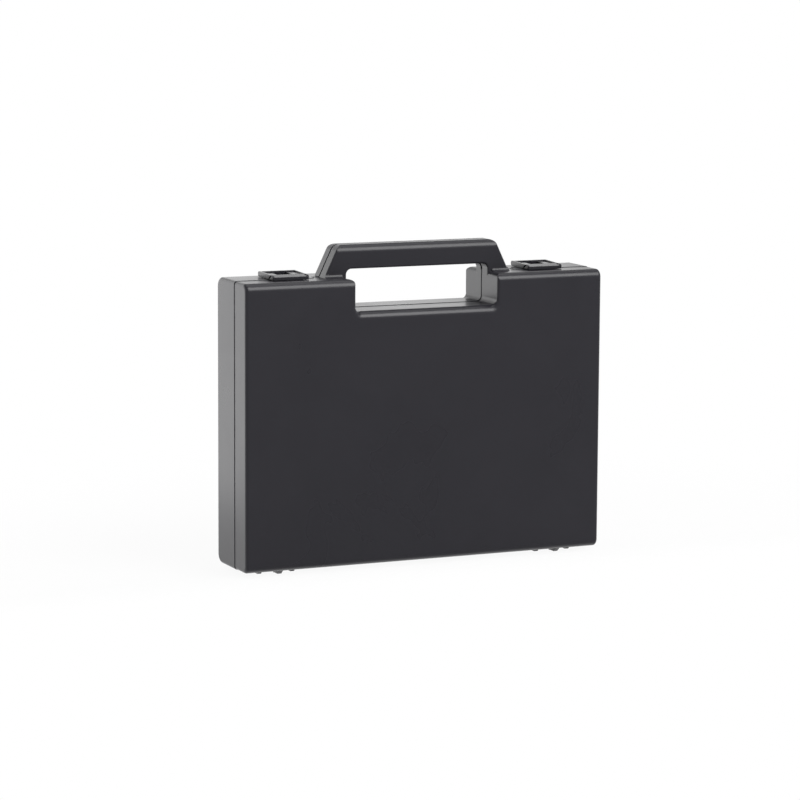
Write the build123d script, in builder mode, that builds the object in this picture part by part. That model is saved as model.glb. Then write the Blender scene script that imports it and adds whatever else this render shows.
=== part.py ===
from build123d import *
import os
from math import asin, atan2, cos, degrees, hypot, radians, sin, tan

# A moulded plastic carrying case that stands on its hinge side.
# X runs left to right, the lid faces -Y, Z is up. The origin is under the middle of the case, on the
# surface that it stands on. All sizes are in millimetres.

# Sizes of the body
case_width = 273.4            # left end to right end
case_height = 201.7           # bottom face to top face, without the handle and the hinges
case_depth = 54.0             # front of the lid to back of the base
wall = 2.2                    # thickness of the moulded walls
long_edge_round = 5.5         # rounding of the long front edges at the top and the bottom
back_edge_round = 6.6         # rounding of the long back edges
end_edge_round = 2.3          # rounding of the edges round the two ends
notch_edge_round = 2.0        # rounding of the edges round the hand notch
hollow_corner_round = 5.0     # corners of the hollow, seen from the front

# Parting of the lid and the base
lid_depth = 21.2              # front of the lid to the parting line
lid_inset = 0.3               # the lid's outline stands in from the base's by this much
parting_gap = 0.3             # open gap between the two rims
tongue_thickness = 1.0        # rib inside the base's rim that keeps the lid in line
tongue_reach = 2.0            # how far the tongue enters the lid
tongue_root = 4.0             # how far the tongue runs back into the base
tongue_sink = 0.55            # and how deep it is sunk into the walls there
tongue_clearance = 0.3        # gap between the tongue and the lid
tongue_start = 14.0           # height above the bottom face where the tongue begins
tongue_margin = 2.0           # the tongue ends this far from the step in the parting line

# Hand notch and handle
hand_width = 108.2            # clear width of the hand opening
hand_depth = 22.3             # depth of the notch below the top face
notch_round = 4.0             # lower corners of the notch
shoulder_round = 3.6          # upper corners of the notch
notch_edge_steps = 3          # steps in which the rounding of the notch's edge fades round a corner
handle_rise = 22.25           # top of the handle above the top face
handle_bar = 17.1             # height of the bar that the hand holds
handle_depth = 19.6           # front to back
handle_set_back = 17.0        # front of the handle behind the front of the lid
lid_handle_depth = 10.2       # share of the handle's depth that is moulded on the lid
handle_foot_width = 141.8     # over the two legs, at the top face
handle_lean = 25.6            # slant of the handle's outer sides, in degrees
handle_corner_round = 6.6     # upper corners of the handle, seen from the front
handle_edge_round = 1.5       # edges of the handle's front and back
handle_foot_round = 2.6       # hollow rounding between the front of each leg and the lid's top
handle_foot_sink = 0.1        # and how deep its front edge lies in the lid
hand_round = 4.0              # upper corners of the hand opening
handle_hollow_round = 2.0     # edges of the hollow inside the handle
seam_groove_width = 1.7       # groove round the handle where its two halves meet
seam_groove_depth = 0.5
parting_step = 6.1            # the parting line steps back this far outside the handle's legs
parting_drop = 8.0            # and runs this far under the floor of the notch

# Hinges
hinge_from_end = 29.2         # middle of a hinge from the end of the case
hinge_drop = 1.7              # pin below the bottom face
hinge_forward = 3.7           # pin in front of the parting line
hinge_pin_radius = 0.75
hinge_pin_seat = 0.02         # radial gap in the ears
hinge_pin_running = 0.06      # radial gap in the hook
hinge_pin_stand_out = 0.5     # pin past each ear
root = 1.0                    # how far ribs, lugs and hooks are sunk into the walls
ear_radius = 1.6
ear_spacing = 24.8            # between the middles of a hinge's two ears
ear_width = 2.6
rib_margin = 7.0              # ribs end this far from the back face
rib_end_round = 1.6
hook_width = 3.0
hook_eye_radius = 1.5
hook_reach = 11.0             # front of the hook in front of the pin
hook_slope = 4.0              # length of the slanted front of the hook
hook_floor_gap = 0.4          # underside of the hook above the surface

# Latches
latch_from_end = 39.0         # middle of a latch from the end of the case
latch_width = 26.8
latch_lip_forward = 8.4       # front face of the latch in front of the parting line
latch_pivot_back = 18.1       # pivot of the latch behind the parting line
latch_gap = 0.3               # gap between the latch and the case
latch_barrel_radius = 1.85
latch_front_height = 2.3      # top of the latch's front face above the top face
latch_nose = 2.6              # length of the side rims' slope behind the front face
latch_nose_rise = 0.95        # and how much higher the rims are behind it
latch_corner_round = 1.0      # corners of the latch, seen from above
latch_side_wall = 1.6
latch_lip = 1.5               # thickness of the lip that hooks over the nub
latch_hollow = 1.3            # height of the hollow under the latch, above the top face
latch_hollow_end = 3.0        # the hollow ends this far in front of the pivot
latch_recess = 0.9            # depth of the sunk floor inside the rim
latch_rim = 1.2               # width of the rim at the sides
latch_front_rim = 4.5         # the sunk floor starts this far behind the side rims' slope
latch_ramp_sink = 0.1         # the ramp between the side rims lies this much below their ends
latch_cut_past = 1.0          # cuts run this far past the faces that they open
latch_recess_round = 1.0
latch_slit = 1.3              # slanted slit across each side wall
latch_slit_depth = 1.2
latch_slit_start = 3.6        # upper end of the slit behind the front face
latch_slit_length = 14.0
latch_slit_slope = 31.5       # in degrees, down towards the back
window_width = 11.2
window_start = 12.0           # front edge of the window behind the latch's front face
latch_pin_radius = 0.6
latch_pin_seat = 0.02         # radial gap in the lug
latch_pin_running = 0.05      # radial gap in the latch
latch_pin_cover = 1.3         # wall of the latch outside each end of the pin
latch_pin_end = 0.2           # gap at each end of the pin
latch_swing = 110.0           # in degrees, from shut to open
lug_radius = 1.2
lug_leg = 1.6                 # thickness of the lug below its eye
lug_width = 8.0
lug_gap = 0.2                 # gap between the lug and the slot in the latch
nub_width = 16.0
nub_height = 1.0              # top of the nub above the top face
nub_gap = 0.4                 # gap between the nub and the latch's lip
nub_chamfer = 0.5

# Foam lining
pad_gap = 0.3                 # gap between the foam and the floor of the shell
pad_margin = 3.4              # gap round the edge of the foam
pad_corner_round = 2.0
base_pad_thickness = 8.0
lid_pad_thickness = 10.0

# Places that follow from the sizes
body_bottom = hinge_drop + ear_radius
body_top = body_bottom + case_height
notch_floor = body_top - hand_depth
front_y = -case_depth / 2
back_y = case_depth / 2
parting_y = front_y + lid_depth
lid_rim_y = parting_y - parting_gap / 2
base_rim_y = parting_y + parting_gap / 2
handle_front = front_y + handle_set_back
handle_back = handle_front + handle_depth
handle_parting_y = handle_front + lid_handle_depth
handle_top = body_top + handle_rise
hand_top = handle_top - handle_bar
hinge_x = case_width / 2 - hinge_from_end
latch_x = case_width / 2 - latch_from_end
step_half = handle_foot_width / 2 + parting_step
step_low = notch_floor - parting_drop
hinge_y = parting_y - hinge_forward
hinge_z = body_bottom - hinge_drop
latch_front = parting_y - latch_lip_forward
lip_back = latch_front + latch_lip
pivot_y = parting_y + latch_pivot_back
pivot_z = body_top + latch_gap + latch_barrel_radius
latch_back_top = pivot_z + latch_barrel_radius
latch_front_top = body_top + latch_front_height
nose_back = latch_front + latch_nose
nose_top = latch_front_top + latch_nose_rise
lid_top = body_top - lid_inset
lid_bottom = body_bottom + lid_inset
reach = case_width + case_height + handle_rise      # longer than the case in every direction


def at_depth(y):
    """Plane seen from the front, at depth y. Its normal points forward."""
    return Plane.XZ.offset(-y)


def body_outline(inset, corner, notch_corner, shoulder, beyond=0.0):
    """Front view of the body with its hand notch, standing in from the full outline by inset.

    The ends and the bottom can lie beyond the full outline, to leave them to another shape.
    """
    half = case_width / 2 - inset + beyond
    notch_half = hand_width / 2 + inset
    low, high, floor = body_bottom + inset - beyond, body_top - inset, notch_floor - inset
    with BuildSketch() as outline:
        with BuildLine():
            FilletPolyline(
                (-half, low), (half, low), (half, high), (notch_half, high),
                (notch_half, floor), (-notch_half, floor), (-notch_half, high), (-half, high),
                radius=[corner, corner, corner, shoulder, notch_corner, notch_corner, shoulder, corner],
                close=True,
            )
        make_face()
    return outline.sketch


def hollow_outline(extra):
    """Front view of the hollow, standing in from the walls by extra."""
    return body_outline(
        wall + extra,
        hollow_corner_round - extra,
        notch_round + wall + extra,
        hollow_corner_round - extra,
    )


def handle_outline(inset, hand_inset, low, corner, hand_corner):
    """Front view of the handle down to the height low: an arch with slanted outer sides.

    The outer sides and the top stand in by inset. The hand opening is wider by hand_inset.
    """
    slant = tan(radians(handle_lean))
    side = inset / cos(radians(handle_lean))
    high = handle_top - inset
    foot = handle_foot_width / 2 - side + (body_top - low) * slant
    top = handle_foot_width / 2 - side - (high - body_top) * slant
    inner = hand_width / 2 + hand_inset
    under = hand_top + hand_inset
    with BuildSketch() as outline:
        with BuildLine():
            FilletPolyline(
                (-foot, low), (-top, high), (top, high), (foot, low),
                (inner, low), (inner, under), (-inner, under), (-inner, low),
                radius=[0, corner, corner, 0, 0, hand_corner, hand_corner, 0],
                close=True,
            )
        make_face()
    return outline.sketch


def edge_section(radius):
    """Cross-section of what a rounding takes off a square edge, grown past both faces."""
    over = radius / 2
    with BuildSketch() as section:
        with BuildLine():
            Polyline((0, radius), (-over, radius), (-over, -over), (radius, -over), (radius, 0))
            RadiusArc((radius, 0), (0, radius), radius)
        make_face()
    return section.sketch


def notch_edge(inset):
    """What the rounding takes off the front edge of the notch's floor.

    It is full along the floor and fades to the rounding of the sides round each lower corner.
    """
    half = hand_width / 2 + inset - notch_round
    middle_z = notch_floor - inset + notch_round
    with BuildPart() as straight:
        with BuildSketch(Plane((-half, front_y, middle_z - notch_round), x_dir=(0, 0, -1), z_dir=(1, 0, 0))):
            add(edge_section(long_edge_round))
        extrude(amount=2 * half)
    with BuildPart() as bend:
        for step in range(notch_edge_steps + 1):
            turn = radians(-90 + 90 * step / notch_edge_steps)
            radius = long_edge_round + (notch_edge_round - long_edge_round) * step / notch_edge_steps
            outward = Vector(cos(turn), 0, sin(turn))
            centre = Vector(half, front_y, middle_z) + outward * notch_round
            with BuildSketch(Plane(centre, x_dir=outward, z_dir=(-sin(turn), 0, cos(turn)))):
                add(edge_section(radius))
        loft()
    return straight.part + bend.part + mirror(bend.part, about=Plane.YZ)


def notched_slab(inset):
    """A slab with the hand notch in its top and rounded edges, longer than the body."""
    with BuildPart() as slab:
        with BuildSketch(at_depth(back_y)):
            add(body_outline(inset, 0, notch_round, shoulder_round, wall + long_edge_round))
        extrude(amount=case_depth)
        fillet(slab.faces().filter_by(Axis.Y).edges(), radius=notch_edge_round)
    return slab.part


def body_block(inset):
    """The body as a solid block with rounded edges, its front view standing in by inset."""
    half = case_width / 2 - inset
    low, high = body_bottom + inset, body_top - inset
    slab = notched_slab(inset)
    front_edge = notch_edge(inset)
    with BuildPart() as block:
        with BuildSketch(Plane.YZ.offset(-half)):
            with BuildLine():
                FilletPolyline(
                    (front_y, low), (back_y, low), (back_y, high), (front_y, high),
                    radius=[long_edge_round, back_edge_round, back_edge_round, long_edge_round],
                    close=True,
                )
            make_face()
        extrude(amount=2 * half)
        fillet(block.faces().filter_by(Axis.X).edges(), radius=end_edge_round)
        add(slab, mode=Mode.INTERSECT)
        add(front_edge, mode=Mode.SUBTRACT)
        add(mirror(front_edge, about=Plane.XZ), mode=Mode.SUBTRACT)
    return block.part


def body_hollow():
    """The space inside the two shells."""
    with BuildPart() as hollow:
        with BuildSketch(at_depth(back_y - wall)):
            add(hollow_outline(0))
        extrude(amount=case_depth - 2 * wall)
        fillet(hollow.faces().sort_by(Axis.Y)[0].edges(), radius=long_edge_round - wall)
        fillet(hollow.faces().sort_by(Axis.Y)[-1].edges(), radius=back_edge_round - wall)
    return hollow.part


def handle_arch(hand_inset):
    """The whole handle, solid, with its feet reaching down past the shoulders of the notch."""
    low = body_top - shoulder_round - root
    with BuildPart() as arch:
        with BuildSketch(at_depth(handle_back)):
            add(handle_outline(0, hand_inset, low, handle_corner_round, hand_round))
        extrude(amount=handle_depth)
        fillet(
            arch.faces().filter_by(Axis.Y).edges().filter_by_position(Axis.Z, low + root, handle_top),
            radius=handle_edge_round,
        )
        with BuildSketch(Plane.YZ.offset(-reach / 2)):
            with Locations(((handle_front + handle_back) / 2, handle_top - reach / 2)):
                RectangleRounded(handle_depth, reach, long_edge_round)
        extrude(amount=reach, mode=Mode.INTERSECT)
        with BuildSketch(at_depth(handle_parting_y + seam_groove_width / 2)):
            with Locations((0, body_top)):
                Rectangle(reach, reach, align=(Align.CENTER, Align.MIN))
            add(
                handle_outline(
                    seam_groove_depth,
                    hand_inset + seam_groove_depth,
                    body_top,
                    handle_corner_round - seam_groove_depth,
                    hand_round + seam_groove_depth,
                ),
                mode=Mode.SUBTRACT,
            )
        extrude(amount=seam_groove_width, mode=Mode.SUBTRACT)
    return arch.part


def handle_hollow(hand_inset, front, back, closed_face):
    """The hollow inside one half of the handle. Its edges are rounded at the closed face.

    The rounding is limited by the room inside a leg, at the height of the hand opening.
    """
    lean = radians(handle_lean)
    leg_outside = handle_foot_width / 2 - wall / cos(lean) - (hand_top + wall - body_top) * tan(lean)
    leg_inside = hand_width / 2 + hand_inset + wall
    with BuildPart() as hollow:
        with BuildSketch(at_depth(back)):
            add(
                handle_outline(
                    wall, hand_inset + wall, body_top, handle_corner_round - wall, hand_round + wall
                )
            )
        extrude(amount=back - front)
        fillet(
            hollow.faces().filter_by(Axis.Y).sort_by(Axis.Y)[closed_face].edges(),
            radius=min(handle_hollow_round, (leg_outside - leg_inside) / 4),
        )
    return hollow.part


def handle_foot():
    """The hollow rounding between the front of the right leg and the top of the lid."""
    inner = hand_width / 2 + shoulder_round
    slant = tan(radians(handle_lean))
    middle_z = lid_top - handle_foot_sink + handle_foot_round
    with BuildPart() as foot:
        with BuildSketch(at_depth(handle_front + root)):
            with BuildLine():
                Polyline(
                    (inner, body_top - root), (handle_foot_width / 2 + root * slant, body_top - root),
                    (handle_foot_width / 2 - (middle_z - body_top) * slant, middle_z), (inner, middle_z),
                    (inner, body_top - root),
                )
            make_face()
        extrude(amount=root + handle_foot_round)
        with BuildSketch(Plane.YZ):
            with Locations((handle_front - handle_foot_round, middle_z)):
                Circle(handle_foot_round)
        extrude(amount=reach, mode=Mode.SUBTRACT)
    return foot.part


hollow_space = body_hollow()

# Base shell: the rear half of the case
base_block = body_block(0)
base_handle = handle_arch(0)
base_handle_hollow = handle_hollow(0, handle_parting_y, handle_back - wall, -1)
rib_back = back_y - rib_margin
with BuildPart() as base_shell:
    add(base_block)
    add(base_handle)
    add(hollow_space, mode=Mode.SUBTRACT)
    add(base_handle_hollow, mode=Mode.SUBTRACT)
    # all that belongs to the lid: in front of the parting line, and further back round the handle
    with BuildSketch(at_depth(base_rim_y)):
        Rectangle(2 * reach, 2 * reach)
    extrude(amount=reach, mode=Mode.SUBTRACT)
    with BuildSketch(at_depth(handle_parting_y + parting_gap / 2)):
        with Locations((0, step_low - parting_gap / 2)):
            Rectangle(2 * step_half + parting_gap, reach, align=(Align.CENTER, Align.MIN))
    extrude(amount=reach, mode=Mode.SUBTRACT)
    # tongue along the two ends and the outer parts of the top, behind the rim and in front of it
    for depth, length, outer in (
        (base_rim_y + tongue_root, tongue_root, -tongue_sink),
        (base_rim_y, tongue_reach, tongue_clearance),
    ):
        with BuildSketch(at_depth(depth)):
            add(hollow_outline(outer))
            add(hollow_outline(tongue_clearance + tongue_thickness), mode=Mode.SUBTRACT)
            with Locations((0, body_bottom + tongue_start)):
                Rectangle(reach, reach, align=(Align.CENTER, Align.MAX), mode=Mode.SUBTRACT)
            Rectangle(2 * (step_half + tongue_margin), 2 * reach, mode=Mode.SUBTRACT)
        extrude(amount=length)
    for side in (-1, 1):
        # hinge ears at the front ends of the ribs that the case stands on
        for ear in (-1, 1):
            ear_x = side * hinge_x + ear * ear_spacing / 2
            with BuildSketch(Plane.YZ.offset(ear_x)):
                with Locations((hinge_y, hinge_z)):
                    Circle(ear_radius)
                with Locations((hinge_y, 0)):
                    Rectangle(
                        base_rim_y + root - hinge_y, 2 * ear_radius, align=(Align.MIN, Align.MIN)
                    )
                with BuildLine():
                    FilletPolyline(
                        (base_rim_y, body_bottom + root), (base_rim_y, 0), (rib_back, 0),
                        (rib_back, body_bottom + root),
                        radius=[0, rib_end_round],
                    )
                    Line((rib_back, body_bottom + root), (base_rim_y, body_bottom + root))
                make_face()
                with Locations((hinge_y, hinge_z)):
                    Circle(hinge_pin_radius + hinge_pin_seat, mode=Mode.SUBTRACT)
            extrude(amount=ear_width / 2, both=True)
        # lug that carries the latch
        with BuildSketch(Plane.YZ.offset(side * latch_x)):
            with Locations((pivot_y, pivot_z)):
                Circle(lug_radius)
            with Locations((pivot_y, body_top - root)):
                Rectangle(lug_leg, pivot_z - body_top + root, align=(Align.CENTER, Align.MIN))
            with Locations((pivot_y, pivot_z)):
                Circle(latch_pin_radius + latch_pin_seat, mode=Mode.SUBTRACT)
        extrude(amount=lug_width / 2, both=True)

# Lid shell: the front half of the case
lid_block = body_block(lid_inset)
lid_handle = handle_arch(lid_inset)
lid_handle_hollow = handle_hollow(lid_inset, handle_front + wall, handle_parting_y, 0)
lid_handle_foot = handle_foot()
hook_front = hinge_y - hook_reach
with BuildPart() as lid_shell:
    add(lid_block)
    add(lid_handle)
    add(lid_handle_foot)
    add(mirror(lid_handle_foot, about=Plane.YZ))
    add(hollow_space, mode=Mode.SUBTRACT)
    add(lid_handle_hollow, mode=Mode.SUBTRACT)
    # all that belongs to the base
    with BuildSketch(at_depth(reach)):
        Rectangle(2 * reach, 2 * reach)
        with Locations((0, step_low + parting_gap / 2)):
            Rectangle(
                2 * step_half - parting_gap, reach, align=(Align.CENTER, Align.MIN), mode=Mode.SUBTRACT
            )
    extrude(amount=reach - lid_rim_y, mode=Mode.SUBTRACT)
    with BuildSketch(at_depth(reach)):
        Rectangle(2 * reach, 2 * reach)
    extrude(amount=reach - (handle_parting_y - parting_gap / 2), mode=Mode.SUBTRACT)
    for side in (-1, 1):
        # hook that reaches under the lid to the hinge pin
        with BuildSketch(Plane.YZ.offset(side * hinge_x)):
            with BuildLine():
                Polyline(
                    (hook_front, lid_bottom + root), (hook_front, lid_bottom),
                    (hook_front + hook_slope, hook_floor_gap), (hinge_y, hook_floor_gap),
                    (hinge_y, lid_bottom + root), (hook_front, lid_bottom + root),
                )
            make_face()
            with Locations((hinge_y, hinge_z)):
                Circle(hook_eye_radius)
                Circle(hinge_pin_radius + hinge_pin_running, mode=Mode.SUBTRACT)
        extrude(amount=hook_width / 2, both=True)
        # nub that the latch hooks over
        nub_front = lip_back + nub_gap
        nub_back = lid_rim_y - nub_chamfer / 2
        nub_top = body_top + nub_height
        with BuildSketch(Plane.YZ.offset(side * latch_x)):
            with BuildLine():
                Polyline(
                    (nub_front, lid_top - root), (nub_front, nub_top - nub_chamfer),
                    (nub_front + nub_chamfer, nub_top), (nub_back, nub_top),
                    (nub_back, lid_top - root), (nub_front, lid_top - root),
                )
            make_face()
        extrude(amount=nub_width / 2, both=True)

# Latch: a framed plate with a window, a lip at the front and a barrel round its pin at the back
rise = pivot_z - nose_top
run = pivot_y - nose_back
slope = atan2(rise, run) + asin(latch_barrel_radius / hypot(rise, run))
tangent_y = pivot_y - latch_barrel_radius * sin(slope)
tangent_z = pivot_z + latch_barrel_radius * cos(slope)
under_latch = body_top + latch_gap
over_lid = lid_top + latch_gap
window_back = pivot_y - latch_barrel_radius
slot_half = lug_leg / 2 + lug_gap
slot_width = lug_width + 2 * lug_gap
slot_lift = radians(latch_swing - 90)
sloped_top = Plane((0, nose_back, nose_top), x_dir=(1, 0, 0), z_dir=(0, -sin(slope), cos(slope)))
recess_front = latch_front_rim
recess_back = (window_back - nose_back) / cos(slope)
ramp_back = nose_back + recess_front * cos(slope)
ramp_low = latch_front_top - latch_ramp_sink
ramp_high = nose_top + recess_front * sin(slope) - latch_ramp_sink
ramp_pitch = (ramp_high - ramp_low) / (ramp_back - latch_front)
with BuildPart() as latch:
    with BuildSketch(Plane.YZ):
        with BuildLine():
            Polyline(
                (latch_front, over_lid), (latch_front, latch_front_top), (nose_back, nose_top),
                (tangent_y, tangent_z), (pivot_y, pivot_z), (pivot_y, under_latch),
                (lip_back, under_latch), (lip_back, over_lid), (latch_front, over_lid),
            )
        make_face()
        with Locations((pivot_y, pivot_z)):
            Circle(latch_barrel_radius)
    extrude(amount=latch_width / 2, both=True)
    # rounded corners at the front, seen from above
    with BuildSketch(Plane.XY.offset(over_lid - latch_cut_past)):
        with BuildLine():
            FilletPolyline(
                (-latch_width / 2, latch_front), (latch_width / 2, latch_front),
                (latch_width / 2, reach), (-latch_width / 2, reach),
                radius=[latch_corner_round, latch_corner_round, 0, 0],
                close=True,
            )
        make_face()
    extrude(amount=latch_back_top - over_lid + 2 * latch_cut_past, mode=Mode.INTERSECT)
    # rim round the sunk top
    with BuildSketch(sloped_top.offset(latch_cut_past)):
        with Locations((0, (recess_front + recess_back) / 2)):
            RectangleRounded(
                latch_width - 2 * latch_rim, recess_back - recess_front, latch_recess_round
            )
    extrude(amount=-latch_cut_past - latch_recess, mode=Mode.SUBTRACT)
    # ramp between the side rims, from the front face up to the sunk floor
    with BuildSketch(Plane.YZ):
        with BuildLine():
            Polyline(
                (latch_front - latch_cut_past, ramp_low - ramp_pitch * latch_cut_past),
                (ramp_back + latch_cut_past, ramp_high + ramp_pitch * latch_cut_past),
                (ramp_back + latch_cut_past, latch_back_top + latch_cut_past),
                (latch_front - latch_cut_past, latch_back_top + latch_cut_past),
                (latch_front - latch_cut_past, ramp_low - ramp_pitch * latch_cut_past),
            )
        make_face()
    extrude(amount=latch_width / 2 - latch_rim, both=True, mode=Mode.SUBTRACT)
    # hollow below, between the lip and the barrel
    with BuildSketch(Plane.XY.offset(over_lid - latch_cut_past)):
        with Locations((0, lip_back)):
            Rectangle(
                latch_width - 2 * latch_side_wall,
                pivot_y - latch_hollow_end - lip_back,
                align=(Align.CENTER, Align.MIN),
            )
    extrude(amount=body_top + latch_hollow - over_lid + latch_cut_past, mode=Mode.SUBTRACT)
    # window
    with BuildSketch(Plane.XY.offset(over_lid - latch_cut_past)):
        with Locations((0, latch_front + window_start)):
            Rectangle(
                window_width, window_back - latch_front - window_start, align=(Align.CENTER, Align.MIN)
            )
    extrude(amount=latch_back_top - over_lid + 2 * latch_cut_past, mode=Mode.SUBTRACT)
    # slot in the barrel for the lug, open below and behind as far as the latch swings
    with BuildSketch(Plane.YZ):
        with Locations((pivot_y, pivot_z)):
            Circle(lug_radius + lug_gap)
            Rectangle(slot_half, reach, align=(Align.MAX, Align.MAX))
            Rectangle(reach, reach, align=(Align.MIN, Align.MAX))
        with BuildLine():
            Polyline(
                (pivot_y, pivot_z), (pivot_y + reach, pivot_z),
                (pivot_y + reach, pivot_z + reach * tan(slot_lift) + slot_half / cos(slot_lift)),
                (pivot_y - slot_half * sin(slot_lift), pivot_z + slot_half * cos(slot_lift)),
                (pivot_y, pivot_z),
            )
        make_face()
    extrude(amount=slot_width / 2, both=True, mode=Mode.SUBTRACT)
    # blind bore for the pin
    with BuildSketch(Plane.YZ):
        with Locations((pivot_y, pivot_z)):
            Circle(latch_pin_radius + latch_pin_running)
    extrude(amount=latch_width / 2 - latch_pin_cover, both=True, mode=Mode.SUBTRACT)
    # slanted slit across each side wall
    for side in (-1, 1):
        with BuildSketch(Plane.YZ.offset(side * (latch_width / 2 - latch_slit_depth / 2))):
            with Locations((latch_front + latch_slit_start, nose_top)):
                Rectangle(latch_slit_length, latch_slit, rotation=-latch_slit_slope)
        extrude(amount=latch_slit_depth / 2, both=True, mode=Mode.SUBTRACT)

with BuildPart() as latch_left:
    with Locations((-latch_x, 0, 0)):
        add(latch.part)

with BuildPart() as latch_right:
    with Locations((latch_x, 0, 0)):
        add(latch.part)

# Pins: short rods along X, two for the latches and two for the hinges
latch_pin_length = latch_width - 2 * latch_pin_cover - 2 * latch_pin_end
hinge_pin_length = ear_spacing + ear_width + 2 * hinge_pin_stand_out
with BuildPart() as latch_pin_left:
    with Locations((-latch_x, pivot_y, pivot_z)):
        Cylinder(latch_pin_radius, latch_pin_length, rotation=(0, 90, 0))

with BuildPart() as latch_pin_right:
    with Locations((latch_x, pivot_y, pivot_z)):
        Cylinder(latch_pin_radius, latch_pin_length, rotation=(0, 90, 0))

with BuildPart() as hinge_pin_left:
    with Locations((-hinge_x, hinge_y, hinge_z)):
        Cylinder(hinge_pin_radius, hinge_pin_length, rotation=(0, 90, 0))

with BuildPart() as hinge_pin_right:
    with Locations((hinge_x, hinge_y, hinge_z)):
        Cylinder(hinge_pin_radius, hinge_pin_length, rotation=(0, 90, 0))

# Foam pads on the floors of the two shells
pad_outline = body_outline(
    wall + pad_margin, pad_corner_round, notch_round + wall + pad_margin, pad_corner_round
)
with BuildPart() as base_pad:
    with BuildSketch(at_depth(back_y - wall - pad_gap)):
        add(pad_outline)
    extrude(amount=base_pad_thickness)

with BuildPart() as lid_pad:
    with BuildSketch(at_depth(front_y + wall + pad_gap + lid_pad_thickness)):
        add(pad_outline)
    extrude(amount=lid_pad_thickness)

os.makedirs("parts", exist_ok=True)
pieces = {
    "base_shell": base_shell,
    "lid_shell": lid_shell,
    "latch_left": latch_left,
    "latch_right": latch_right,
    "latch_pin_left": latch_pin_left,
    "latch_pin_right": latch_pin_right,
    "hinge_pin_left": hinge_pin_left,
    "hinge_pin_right": hinge_pin_right,
    "base_pad": base_pad,
    "lid_pad": lid_pad,
}
for name, piece in pieces.items():
    piece.part.label = name
    export_step(piece.part, f"parts/{name}.step")
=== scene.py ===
"""Looks of a moulded plastic carrying case with foam inside.

The file is laid out as an add-on and run as a script.
"""

import math

import bpy
import numpy as np
from bpy.props import FloatProperty, FloatVectorProperty, PointerProperty
from bpy.types import Operator, Panel, PropertyGroup
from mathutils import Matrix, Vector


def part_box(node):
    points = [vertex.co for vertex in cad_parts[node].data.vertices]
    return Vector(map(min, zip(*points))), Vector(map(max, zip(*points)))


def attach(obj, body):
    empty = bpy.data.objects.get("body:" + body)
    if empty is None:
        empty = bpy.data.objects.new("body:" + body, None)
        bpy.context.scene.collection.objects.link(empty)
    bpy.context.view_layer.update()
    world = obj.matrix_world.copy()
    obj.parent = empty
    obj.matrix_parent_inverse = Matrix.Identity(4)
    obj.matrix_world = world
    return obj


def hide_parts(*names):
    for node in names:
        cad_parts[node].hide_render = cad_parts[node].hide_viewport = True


bl_info = {
    "name": "Plastic Carrying Case",
    "version": (1, 0, 0),
    "blender": (4, 5, 0),
    "location": "3D View > Sidebar > Case",
    "description": "Finishes the shells, latches and pins of a moulded case and lines it with foam",
    "category": "Object",
}

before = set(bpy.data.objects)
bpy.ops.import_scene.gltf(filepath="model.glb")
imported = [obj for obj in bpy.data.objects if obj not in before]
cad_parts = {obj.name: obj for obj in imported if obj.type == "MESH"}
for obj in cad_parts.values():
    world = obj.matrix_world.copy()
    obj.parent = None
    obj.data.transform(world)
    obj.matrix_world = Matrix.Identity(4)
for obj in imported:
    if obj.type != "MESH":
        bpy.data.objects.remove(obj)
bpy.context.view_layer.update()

MM = 0.001
# width of the camera's sensor in millimetres
SENSOR_WIDTH = 36
# corners of a CAD solid that differ by less than this are level with each other
LEVEL = 0.01 * MM
# edges of the foam where its surface turns by more than this angle are shaded sharp
FOAM_CREASE = math.radians(55)

# soft lamps: name, place, the point that it faces, width and height in metres, and power in watts
LAMPS = (
    ("front_softbox", (0.74, -1.45, 1.65), (0, 0, 0.15), (1.3, 1.5), 30),
    ("back_left_softbox", (-0.33, 0.44, 0.16), (0, 0, 0.11), (0.7, 0.41), 0.75),
    ("back_softbox", (0.12, 0.62, 0.36), (0, 0, 0.2), (0.6, 0.3), 0.2),
    ("overhead_softbox", (0.1, 0.3, 1.6), (0, 0, 0.1), (1.4, 1.0), 4),
)
# heights of a direction, as the sine of its elevation, where the backdrop ends and the ceiling starts
BACKDROP_TOP = 0.3
CEILING_START = 0.62
# Y of a direction where the dimmer front of the room ends and where the full backdrop starts
FRONT_END = -0.35
BACKDROP_START = 0.1
# share of the shadow's reach where the floor starts to fade
FADE_START = 0.35


def linear(code):
    """Turns an sRGB hex code such as "#36353a" into linear red, green and blue."""
    parts = [int(code[i:i + 2], 16) / 255 for i in (1, 3, 5)]
    return tuple(c / 12.92 if c <= 0.04045 else ((c + 0.055) / 1.055) ** 2.4 for c in parts)


# Properties


class CaseFinish(PropertyGroup):
    """Colours and finish of the plastic and the pins."""

    shell_colour: FloatVectorProperty(
        name="Shell colour", description="Charcoal pigment of the two shells",
        subtype="COLOR", size=3, min=0, max=1, default=linear("#2b2a30"),
    )
    latch_colour: FloatVectorProperty(
        name="Latch colour", description="Pigment of the two latches",
        subtype="COLOR", size=3, min=0, max=1, default=linear("#2b2a30"),
    )
    pin_colour: FloatVectorProperty(
        name="Pin colour", description="Bare steel of the hinge and latch pins",
        subtype="COLOR", size=3, min=0, max=1, default=linear("#bfbcb6"),
    )
    shell_roughness: FloatProperty(
        name="Shell roughness", description="How satin the moulded shells are",
        subtype="FACTOR", min=0, max=1, default=0.29,
    )
    latch_roughness: FloatProperty(
        name="Latch roughness", description="How satin the smoother latches are",
        subtype="FACTOR", min=0, max=1, default=0.22,
    )
    grain: FloatProperty(
        name="Grain", description="Spacing of the mould's fine texture",
        unit="LENGTH", min=0.1 * MM, max=5 * MM, default=0.6 * MM,
    )
    edge: FloatProperty(
        name="Edge rounding", description="Tiny rounding that every moulded edge has",
        unit="LENGTH", min=0, max=2 * MM, default=0.3 * MM,
    )


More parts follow.
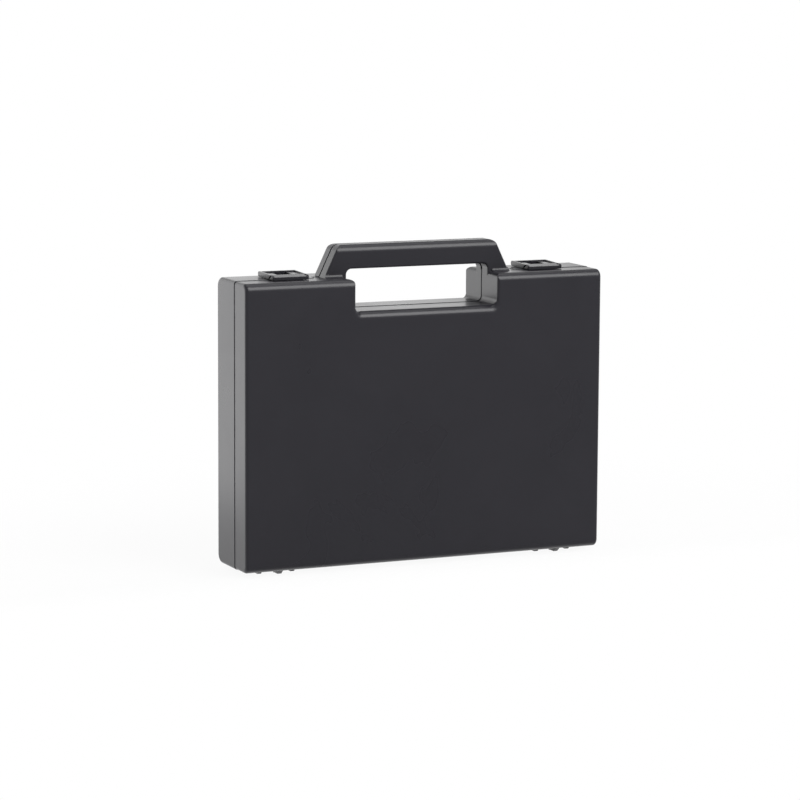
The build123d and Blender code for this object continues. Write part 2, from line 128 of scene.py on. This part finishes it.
class CaseFoam(PropertyGroup):
    """Sizes and colour of the foam lining."""

    colour: FloatVectorProperty(
        name="Foam colour", description="Dark grey polyurethane foam",
        subtype="COLOR", size=3, min=0, max=1, default=linear("#3a3a3d"),
    )
    cell: FloatProperty(
        name="Cell size", description="Width of the foam's open cells",
        unit="LENGTH", min=0.2 * MM, max=5 * MM, default=1.1 * MM,
    )
    edge: FloatProperty(
        name="Edge rounding", description="Rounding of the foam's front edges",
        unit="LENGTH", min=0.2 * MM, max=4 * MM, default=1.6 * MM,
    )
    wave: FloatProperty(
        name="Wave length", description="Distance between two peaks in a row of the convoluted foam",
        unit="LENGTH", min=8 * MM, max=60 * MM, default=26 * MM,
    )
    valley: FloatProperty(
        name="Valley thickness", description="Thickness of the lid's foam in its valleys",
        unit="LENGTH", min=1 * MM, max=9 * MM, default=4 * MM,
    )
    step: FloatProperty(
        name="Mesh step", description="Spacing of the foam's surface points",
        unit="LENGTH", min=1 * MM, max=5 * MM, default=1.3 * MM,
    )


class CaseStage(PropertyGroup):
    """Camera, floor and even light. The camera was fitted to the case's corners in the photograph."""

    camera_place: FloatVectorProperty(
        name="Camera place", description="Where the camera stands",
        subtype="TRANSLATION", unit="LENGTH", size=3, default=(-0.949167, -2.087867, 0.452170),
    )
    camera_turn: FloatVectorProperty(
        name="Camera turn", description="Camera rotation about X, Y and Z",
        subtype="EULER", size=3,
        default=tuple(math.radians(a) for a in (81.61749789, -0.3174287, -24.2007994)),
    )
    focal_length: FloatProperty(
        name="Focal length", description=f"Focal length in millimetres on a {SENSOR_WIDTH} mm sensor",
        min=20, max=400, default=147.3145,
    )
    floor_colour: FloatVectorProperty(
        name="Floor colour", description="Plain pale floor",
        subtype="COLOR", size=3, min=0, max=1, default=linear("#fafafa"),
    )
    floor_size: FloatProperty(
        name="Floor size", description="Side of the square floor",
        unit="LENGTH", min=1, max=100, default=40,
    )
    shadow_reach: FloatProperty(
        name="Shadow reach", description="Distance from the case where the floor has faded to white",
        unit="LENGTH", min=0.1, max=5, default=0.55,
    )
    front_fade: FloatProperty(
        name="Front fade", description="Distance in front of the case's middle where the floor ends",
        unit="LENGTH", min=0.001, max=1, default=0.08,
    )
    near_clear: FloatProperty(
        name="Clear floor", description="How much of the backdrop shows through the floor at the case",
        subtype="FACTOR", min=0, max=1, default=0.93,
    )
    ambient: FloatProperty(
        name="Ambient light", description="Strength of the even light from all round",
        min=0, max=3, default=0.35,
    )
    ceiling: FloatProperty(
        name="Ceiling", description="How bright shiny surfaces see the ceiling; the backdrop is 1",
        min=0, max=3, default=0.3,
    )
    room_front: FloatProperty(
        name="Room in front", description="How bright shiny surfaces see the room on the camera's side",
        min=0, max=3, default=0.33,
    )


# Materials


def add_node(tree, kind, values=(), links=(), **settings):
    """Adds a node. Settings are its fields, values fill its inputs and links join outputs to them."""
    made = tree.nodes.new(kind)
    for field, value in settings.items():
        setattr(made, field, value)
    for socket, value in dict(values).items():
        made.inputs[socket].default_value = value
    for socket, source in dict(links).items():
        tree.links.new(source, made.inputs[socket])
    return made


def new_material(name):
    """An empty node material and its tree."""
    material = bpy.data.materials.new(name)
    material.use_nodes = True
    material.node_tree.nodes.clear()
    return material, material.node_tree


def spark_eroded_polypropylene(name, colour, roughness, grain, edge):
    """Polypropylene copolymer from a spark-eroded mould: its fine even grain turns the shine satin.

    Broad, faint changes of colour and shine come from the way the melt filled the mould and from
    handling. Each moulded edge has a tiny rounding, which catches the light as a thin line.
    """
    material, tree = new_material(name)
    place = add_node(tree, "ShaderNodeTexCoord").outputs["Object"]
    flow_width, shine_spread = 70 * MM, 0.03
    # the real grain is about 0.1 mm wide, too fine for the picture, so it is drawn coarser
    texture = add_node(
        tree, "ShaderNodeTexNoise",
        {"Scale": 1 / grain, "Detail": 2.0, "Roughness": 0.6},
        {"Vector": place},
    )
    flow = add_node(
        tree, "ShaderNodeTexNoise",
        {"Scale": 1 / flow_width, "Detail": 3.0, "Roughness": 0.55, "Distortion": 0.6},
        {"Vector": place},
    )
    tint = add_node(tree, "ShaderNodeValToRGB", (), {"Fac": flow.outputs["Fac"]})
    # from a little darker to a little paler than the pigment
    for stop, place_on_ramp, share in ((0, 0.3, 0.94), (1, 0.7, 1.06)):
        tint.color_ramp.elements[stop].position = place_on_ramp
        tint.color_ramp.elements[stop].color = (*[c * share for c in colour], 1)
    shine = add_node(
        tree, "ShaderNodeMapRange",
        {
            "From Min": 0.3, "From Max": 0.7,
            "To Min": roughness - shine_spread, "To Max": roughness + shine_spread,
        },
        {"Value": flow.outputs["Fac"]},
    )
    rounded = add_node(tree, "ShaderNodeBevel", {"Radius": edge}, samples=6)
    bump = add_node(
        tree, "ShaderNodeBump",
        {"Strength": 0.3, "Distance": 0.03 * MM},
        {"Height": texture.outputs["Fac"], "Normal": rounded.outputs["Normal"]},
    )
    shader = add_node(
        tree, "ShaderNodeBsdfPrincipled", {"IOR": 1.49},
        {
            "Base Color": tint.outputs["Color"],
            "Roughness": shine.outputs["Result"],
            "Normal": bump.outputs["Normal"],
        },
    )
    add_node(tree, "ShaderNodeOutputMaterial", (), {"Surface": shader.outputs["BSDF"]})
    return material


def drawn_steel(name, colour):
    """Bright drawn steel wire: fine lines along its length, here along X, stretch the shine."""
    material, tree = new_material(name)
    place = add_node(tree, "ShaderNodeTexCoord").outputs["Object"]
    # the lines are 0.05 mm apart on the real wire and are drawn coarser here
    length, spacing = 8 * MM, 0.15 * MM
    along = add_node(
        tree, "ShaderNodeMapping",
        {"Scale": (1 / length, 1 / spacing, 1 / spacing)},
        {"Vector": place},
    )
    lines = add_node(
        tree, "ShaderNodeTexNoise",
        {"Scale": 1.0, "Detail": 2.0},
        {"Vector": along.outputs["Vector"]},
    )
    shine = add_node(
        tree, "ShaderNodeMapRange",
        {"To Min": 0.22, "To Max": 0.42},
        {"Value": lines.outputs["Fac"]},
    )
    bump = add_node(
        tree, "ShaderNodeBump",
        {"Strength": 0.2, "Distance": 0.01 * MM},
        {"Height": lines.outputs["Fac"]},
    )
    shader = add_node(
        tree, "ShaderNodeBsdfPrincipled",
        {"Base Color": (*colour, 1), "Metallic": 1.0},
        {"Roughness": shine.outputs["Result"], "Normal": bump.outputs["Normal"]},
    )
    add_node(tree, "ShaderNodeOutputMaterial", (), {"Surface": shader.outputs["BSDF"]})
    return material


def open_cell_foam(name, colour, cell):
    """Open-cell polyurethane foam, cut from a block: matte, with painted shade darkening the pores and
    painted light making the cell walls between them paler.
    """
    material, tree = new_material(name)
    place = add_node(tree, "ShaderNodeTexCoord").outputs["Object"]
    cloud_width = 18 * MM
    # the real cells are about 0.5 mm wide and are drawn twice as coarse, so that they show
    cells = add_node(tree, "ShaderNodeTexVoronoi", {"Scale": 1 / cell}, {"Vector": place})
    cloud = add_node(
        tree, "ShaderNodeTexNoise",
        {"Scale": 1 / cloud_width, "Detail": 4.0},
        {"Vector": place},
    )
    painted_pore_shade = add_node(tree, "ShaderNodeValToRGB", (), {"Fac": cells.outputs["Distance"]})
    # painted shade and light: a pore's middle is painted darker than the foam's colour, and the walls
    # between the pores are painted paler
    for stop, place_on_ramp, share in ((0, 0.1, 0.45), (1, 0.65, 1.15)):
        painted_pore_shade.color_ramp.elements[stop].position = place_on_ramp
        painted_pore_shade.color_ramp.elements[stop].color = (*[c * share for c in colour], 1)
    faded = add_node(
        tree, "ShaderNodeMapRange",
        {"To Min": 0.85, "To Max": 1.15},
        {"Value": cloud.outputs["Fac"]},
    )
    tint = add_node(
        tree, "ShaderNodeVectorMath", (),
        {0: painted_pore_shade.outputs["Color"], 1: faded.outputs["Result"]},
        operation="MULTIPLY",
    )
    bump = add_node(
        tree, "ShaderNodeBump",
        {"Strength": 0.7, "Distance": 0.4 * MM},
        {"Height": cells.outputs["Distance"]},
    )
    shader = add_node(
        tree, "ShaderNodeBsdfPrincipled",
        {"Roughness": 0.97, "IOR": 1.5, "Specular IOR Level": 0.15},
        {"Base Color": tint.outputs["Vector"], "Normal": bump.outputs["Normal"]},
    )
    add_node(tree, "ShaderNodeOutputMaterial", (), {"Surface": shader.outputs["BSDF"]})
    return material


def dress(nodes, material):
    """Puts one material on every slot of the named CAD nodes."""
    for name in nodes:
        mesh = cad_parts[name].data
        if not mesh.materials:
            mesh.materials.append(material)
        for slot in range(len(mesh.materials)):
            mesh.materials[slot] = material


# Foam surfaces


def pad_outline(node):
    """Sizes of a pad's front view, read from the corners of its CAD solid.

    Returns half its width, its lowest and highest point, half the width of the notch, the height of
    the notch's floor, and the rounding of the outer corners and of the notch's lower corners.
    """
    corners = np.array([v.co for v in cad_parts[node].data.vertices])
    across, up = np.abs(corners[:, 0]), corners[:, 2]
    half, low, high = across.max(), up.min(), up.max()
    floor = up[across.argmin()]
    notch_half = across[up > (floor + high) / 2].min()
    outer_round = half - across[up < low + LEVEL].max()
    notch_round = notch_half - across.min()
    return half, low, high, notch_half, floor, outer_round, notch_round


def box_distance(x, z, half_x, half_z, corner):
    """Signed distance to a rounded rectangle about the origin, negative inside.

    It is the length of what sticks out past the inner rectangle, less the rounding.
    """
    out_x, out_z = np.abs(x) - half_x + corner, np.abs(z) - half_z + corner
    outside = np.hypot(np.maximum(out_x, 0), np.maximum(out_z, 0))
    return outside + np.minimum(np.maximum(out_x, out_z), 0) - corner


def pad_distance(x, z, outline):
    """Signed distance to the pad's outline, negative inside: a rounded rectangle without the notch's.

    Where the two distances meet, at the shoulders, their larger one is rounded off.
    """
    half, low, high, notch_half, floor, corner, notch_corner = outline
    middle, tall = (low + high) / 2, (high - low) / 2
    body = box_distance(x, z - middle, half, tall, corner)
    notch = -box_distance(x, z - floor - tall, notch_half, tall, notch_corner)
    rounded = np.hypot(np.maximum(body + corner, 0), np.maximum(notch + corner, 0))
    return np.minimum(-corner, np.maximum(body, notch)) + rounded


def evenly(stops, step):
    """Points from the first stop to the last, about a step apart, with one on every stop."""
    runs = [
        np.linspace(start, end, max(2, round((end - start) / step) + 1))[:-1]
        for start, end in zip(stops[:-1], stops[1:])
    ]
    return np.concatenate([*runs, [stops[-1]]])


def foam_surface(name, node, facing, thickness, edge, step):
    """A foam pad as one closed surface over a grid of x and z.

    The front stands out from the flat back by thickness(x, z), and falls in a quarter circle of radius
    edge towards the outline. Grid points near a rounded corner are moved onto the outline along the
    slope of the signed distance. The sides join the front's border to the back's.
    """
    outline = pad_outline(node)
    half, low, high, notch_half, floor = outline[:5]
    xs = evenly((-half, -notch_half, notch_half, half), step)
    zs = evenly((low, floor, high), step)
    x, z = np.meshgrid(xs, zs, indexing="ij")
    away = pad_distance(x, z, outline)
    # points nearer than this to the outline are moved onto it, and a slope counts as at least a half
    reach, least_slope = 0.45 * step, 0.5
    slope_x, slope_z = np.gradient(away, xs, zs)
    steep = np.maximum(slope_x**2 + slope_z**2, least_slope**2)
    near = np.abs(away) < reach
    x, z = x - near * away * slope_x / steep, z - near * away * slope_z / steep

    inside = away < reach
    cells = inside[:-1, :-1] & inside[1:, :-1] & inside[1:, 1:] & inside[:-1, 1:]
    index = np.arange(x.size).reshape(x.shape)
    quads = np.stack([index[:-1, :-1], index[1:, :-1], index[1:, 1:], index[:-1, 1:]], axis=-1)[cells]
    used, quads = np.unique(quads, return_inverse=True)
    quads = quads.reshape(-1, 4)
    x, z = x.ravel()[used], z.ravel()[used]
    depth = np.clip(-away.ravel()[used], 0, edge)
    height = thickness(x, z) - edge + np.sqrt(edge**2 - (edge - depth) ** 2)

    lowest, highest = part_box(node)
    back = highest.y if facing < 0 else lowest.y
    count = x.size
    front_points = np.column_stack([x, back + facing * height, z])
    back_points = np.column_stack([x, np.full(count, back), z])
    heads, tails = quads.ravel(), np.roll(quads, -1, axis=1).ravel()
    border = ~np.isin(heads * count + tails, tails * count + heads)
    a, b = heads[border], tails[border]
    sides = np.column_stack([b, a, a + count, b + count])
    faces = np.concatenate([quads, quads[:, ::-1] + count, sides])
    if facing > 0:
        faces = faces[:, ::-1]
    mesh = bpy.data.meshes.new(name)
    mesh.from_pydata(np.concatenate([front_points, back_points]).tolist(), [], faces.tolist())
    mesh.shade_smooth()
    mesh.set_sharp_from_angle(angle=FOAM_CREASE)
    piece = bpy.data.objects.new(name, mesh)
    bpy.context.scene.collection.objects.link(piece)
    return piece


def seat_foam(piece, node, body, material):
    """Gives a foam pad its material and body and lets it stand for its CAD solid."""
    piece.data.materials.append(material)
    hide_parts(node)
    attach(piece, body)


def foam_material(foam):
    """The foam's material, made once for both pads."""
    name = "open_cell_polyurethane_foam"
    return bpy.data.materials.get(name) or open_cell_foam(name, foam.colour, foam.cell)


# Operators


class CASE_OT_shells(Operator):
    """Finish the base shell and the lid shell"""

    bl_idname = "case.shells"
    bl_label = "Shells"

    def execute(self, context):
        finish = context.scene.case_finish
        plastic = spark_eroded_polypropylene(
            "spark_eroded_polypropylene", finish.shell_colour, finish.shell_roughness, finish.grain,
            finish.edge,
        )
        dress(("base_shell", "lid_shell"), plastic)
        return {"FINISHED"}


class CASE_OT_latches(Operator):
    """Finish the two flip latches"""

    bl_idname = "case.latches"
    bl_label = "Latches"

    def execute(self, context):
        finish = context.scene.case_finish
        plastic = spark_eroded_polypropylene(
            "smooth_moulded_polypropylene", finish.latch_colour, finish.latch_roughness, finish.grain,
            finish.edge,
        )
        dress(("latch_left", "latch_right"), plastic)
        return {"FINISHED"}


class CASE_OT_pins(Operator):
    """Finish the hinge pins and the latch pins"""

    bl_idname = "case.pins"
    bl_label = "Pins"

    def execute(self, context):
        steel = drawn_steel("drawn_steel_wire", context.scene.case_finish.pin_colour)
        dress(("hinge_pin_left", "hinge_pin_right", "latch_pin_left", "latch_pin_right"), steel)
        return {"FINISHED"}


class CASE_OT_base_foam(Operator):
    """Line the base with a plain slab of foam"""

    bl_idname = "case.base_foam"
    bl_label = "Base foam"

    def execute(self, context):
        foam = context.scene.case_foam
        lowest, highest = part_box("base_pad")
        full = highest.y - lowest.y
        piece = foam_surface(
            "base_foam", "base_pad", -1, lambda x, z: np.full(x.shape, full), foam.edge, foam.step
        )
        seat_foam(piece, "base_pad", "base", foam_material(foam))
        return {"FINISHED"}


class CASE_OT_lid_foam(Operator):
    """Line the lid with convoluted foam, which holds the contents down"""

    bl_idname = "case.lid_foam"
    bl_label = "Lid foam"

    def execute(self, context):
        foam = context.scene.case_foam
        lowest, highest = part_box("lid_pad")
        full, valley = highest.y - lowest.y, foam.valley
        turn = 2 * math.pi / foam.wave

        def waves(x, z):
            """Valley thickness plus a share of the rest, which follows the product of two cosines."""
            return valley + (full - valley) * (0.5 + 0.5 * np.cos(turn * x) * np.cos(turn * z))

        piece = foam_surface("lid_foam", "lid_pad", 1, waves, foam.edge, foam.step)
        seat_foam(piece, "lid_pad", "lid", foam_material(foam))
        return {"FINISHED"}


def soft_lamp(name, place, aim, size, watts):
    """A rectangular soft lamp that looks from place to aim and isn't seen itself."""
    lamp = bpy.data.lights.new(name, "AREA")
    lamp.shape = "RECTANGLE"
    lamp.size, lamp.size_y = size
    lamp.energy = watts
    holder = bpy.data.objects.new(name, lamp)
    holder.location = place
    # a lamp shines along its -Z, so it is tilted from straight down and then turned about Z
    way = np.subtract(aim, place)
    holder.rotation_euler = (
        math.atan2(math.hypot(way[0], way[1]), -way[2]), 0, math.atan2(way[1], way[0]) - math.pi / 2
    )
    holder.visible_camera = False
    bpy.context.scene.collection.objects.link(holder)


def shiny_rays(tree, rays):
    """1 for glossy and transmission rays, and 0 for others."""
    return add_node(
        tree, "ShaderNodeMath", (),
        {0: rays.outputs["Is Glossy Ray"], 1: rays.outputs["Is Transmission Ray"]},
        operation="MAXIMUM",
    ).outputs[0]


def floor_material(stage):
    """Plain matte pale floor that keeps a faint shadow behind the case, where the light throws it.

    It fades out with the distance from the case, and ends in front of it. Camera, glossy and
    transmission rays pass through most of it, and so see the white backdrop. Shadow rays do too, so
    that a lid that hangs below the floor is lit and shows.
    """
    material, tree = new_material("matte_studio_floor")
    place = add_node(tree, "ShaderNodeTexCoord").outputs["Object"]
    rays = add_node(tree, "ShaderNodeLightPath")
    distance = add_node(tree, "ShaderNodeVectorMath", (), {0: place}, operation="LENGTH")
    fade = add_node(
        tree, "ShaderNodeMapRange",
        {
            "From Min": FADE_START * stage.shadow_reach, "From Max": stage.shadow_reach,
            "To Min": stage.near_clear, "To Max": 1.0,
        },
        {"Value": distance.outputs["Value"]},
        interpolation_type="SMOOTHSTEP",
    )
    depth = add_node(tree, "ShaderNodeSeparateXYZ", (), {"Vector": place})
    front = add_node(
        tree, "ShaderNodeMapRange",
        {
            "From Min": -stage.front_fade, "From Max": 0.0,
            "To Min": 1.0, "To Max": stage.near_clear,
        },
        {"Value": depth.outputs["Y"]},
        interpolation_type="SMOOTHSTEP",
    )
    open_share = add_node(
        tree, "ShaderNodeMath", (),
        {0: fade.outputs["Result"], 1: front.outputs["Result"]},
        operation="MAXIMUM",
    )
    seen = add_node(
        tree, "ShaderNodeMath", (),
        {0: rays.outputs["Is Camera Ray"], 1: shiny_rays(tree, rays)},
        operation="MAXIMUM",
    )
    passed = add_node(
        tree, "ShaderNodeMath", (),
        {0: seen.outputs[0], 1: rays.outputs["Is Shadow Ray"]},
        operation="MAXIMUM",
    )
    share = add_node(
        tree, "ShaderNodeMath", (),
        {0: open_share.outputs[0], 1: passed.outputs[0]},
        operation="MULTIPLY",
    )
    matte = add_node(tree, "ShaderNodeBsdfDiffuse", {"Color": (*stage.floor_colour, 1)})
    clear = add_node(tree, "ShaderNodeBsdfTransparent")
    mixed = add_node(
        tree, "ShaderNodeMixShader", (),
        {0: share.outputs[0], 1: matte.outputs["BSDF"], 2: clear.outputs["BSDF"]},
    )
    add_node(tree, "ShaderNodeOutputMaterial", (), {"Surface": mixed.outputs["Shader"]})
    return material


def studio_world(stage):
    """White backdrop for the camera, and an even light for matte surfaces.

    Shiny surfaces see the white backdrop behind the case, a dimmer ceiling and a dimmer room in front.
    """
    world = bpy.data.worlds.new("studio")
    world.use_nodes = True
    tree = world.node_tree
    tree.nodes.clear()
    rays = add_node(tree, "ShaderNodeLightPath")
    way = add_node(tree, "ShaderNodeTexCoord").outputs["Generated"]
    direction = add_node(tree, "ShaderNodeSeparateXYZ", (), {"Vector": way})
    above = add_node(
        tree, "ShaderNodeMapRange",
        {
            "From Min": BACKDROP_TOP, "From Max": CEILING_START,
            "To Min": 1.0, "To Max": stage.ceiling,
        },
        {"Value": direction.outputs["Z"]},
        interpolation_type="SMOOTHSTEP",
    )
    ahead = add_node(
        tree, "ShaderNodeMapRange",
        {
            "From Min": FRONT_END, "From Max": BACKDROP_START,
            "To Min": stage.room_front, "To Max": 1.0,
        },
        {"Value": direction.outputs["Y"]},
        interpolation_type="SMOOTHSTEP",
    )
    room = add_node(
        tree, "ShaderNodeMath", (),
        {0: above.outputs["Result"], 1: ahead.outputs["Result"]},
        operation="MINIMUM",
    )
    lit = add_node(
        tree, "ShaderNodeMapRange",
        {"To Min": stage.ambient},
        {"Value": shiny_rays(tree, rays), "To Max": room.outputs[0]},
    )
    strength = add_node(
        tree, "ShaderNodeMapRange",
        {"To Max": 1.0},
        {"Value": rays.outputs["Is Camera Ray"], "To Min": lit.outputs["Result"]},
    )
    light = add_node(
        tree, "ShaderNodeBackground",
        {"Color": (1, 1, 1, 1)},
        {"Strength": strength.outputs["Result"]},
    )
    add_node(tree, "ShaderNodeOutputWorld", (), {"Surface": light.outputs["Background"]})
    return world


class CASE_OT_stage(Operator):
    """Set up the floor, the even light, the lamps and the camera"""

    bl_idname = "case.stage"
    bl_label = "Stage"

    def execute(self, context):
        scene = context.scene
        stage = scene.case_stage
        scene.view_settings.view_transform = "Standard"

        side = stage.floor_size / 2
        mesh = bpy.data.meshes.new("floor")
        corners = [(-side, -side, 0), (side, -side, 0), (side, side, 0), (-side, side, 0)]
        mesh.from_pydata(corners, [], [(0, 1, 2, 3)])
        mesh.materials.append(floor_material(stage))
        floor = bpy.data.objects.new("floor", mesh)
        scene.collection.objects.link(floor)

        scene.world = studio_world(stage)
        for lamp in LAMPS:
            soft_lamp(*lamp)

        camera = bpy.data.cameras.new("camera")
        camera.sensor_width = SENSOR_WIDTH
        camera.lens = stage.focal_length
        camera.dof.use_dof = False
        holder = bpy.data.objects.new("camera", camera)
        holder.location = stage.camera_place
        holder.rotation_euler = stage.camera_turn
        scene.collection.objects.link(holder)
        scene.camera = holder
        return {"FINISHED"}


# Panel and registration


class CASE_PT_sidebar(Panel):
    """Lists the steps that build the case's looks, with their sizes and colours."""

    bl_label = "Carrying Case"
    bl_idname = "CASE_PT_sidebar"
    bl_space_type = "VIEW_3D"
    bl_region_type = "UI"
    bl_category = "Case"

    def draw(self, context):
        layout = self.layout
        for group in GROUPS:
            values = getattr(context.scene, group)
            box = layout.box()
            for name in values.__annotations__:
                box.prop(values, name)
        for step in STEPS:
            layout.operator(step.bl_idname)


GROUPS = {"case_finish": CaseFinish, "case_foam": CaseFoam, "case_stage": CaseStage}
STEPS = (
    CASE_OT_shells, CASE_OT_latches, CASE_OT_pins, CASE_OT_base_foam, CASE_OT_lid_foam,
    CASE_OT_stage,
)
CLASSES = (*GROUPS.values(), *STEPS, CASE_PT_sidebar)


def register():
    """Registers the classes and gives the scene its groups of values."""
    for kind in CLASSES:
        bpy.utils.register_class(kind)
    for name, group in GROUPS.items():
        setattr(bpy.types.Scene, name, PointerProperty(type=group))


def unregister():
    """Takes the groups of values and the classes away again."""
    for name in GROUPS:
        delattr(bpy.types.Scene, name)
    for kind in reversed(CLASSES):
        bpy.utils.unregister_class(kind)


def main():
    """Builds every step in order."""
    register()
    bpy.ops.case.shells()
    bpy.ops.case.latches()
    bpy.ops.case.pins()
    bpy.ops.case.base_foam()
    bpy.ops.case.lid_foam()
    bpy.ops.case.stage()
    bpy.context.view_layer.update()


if __name__ == "__main__":
    main()
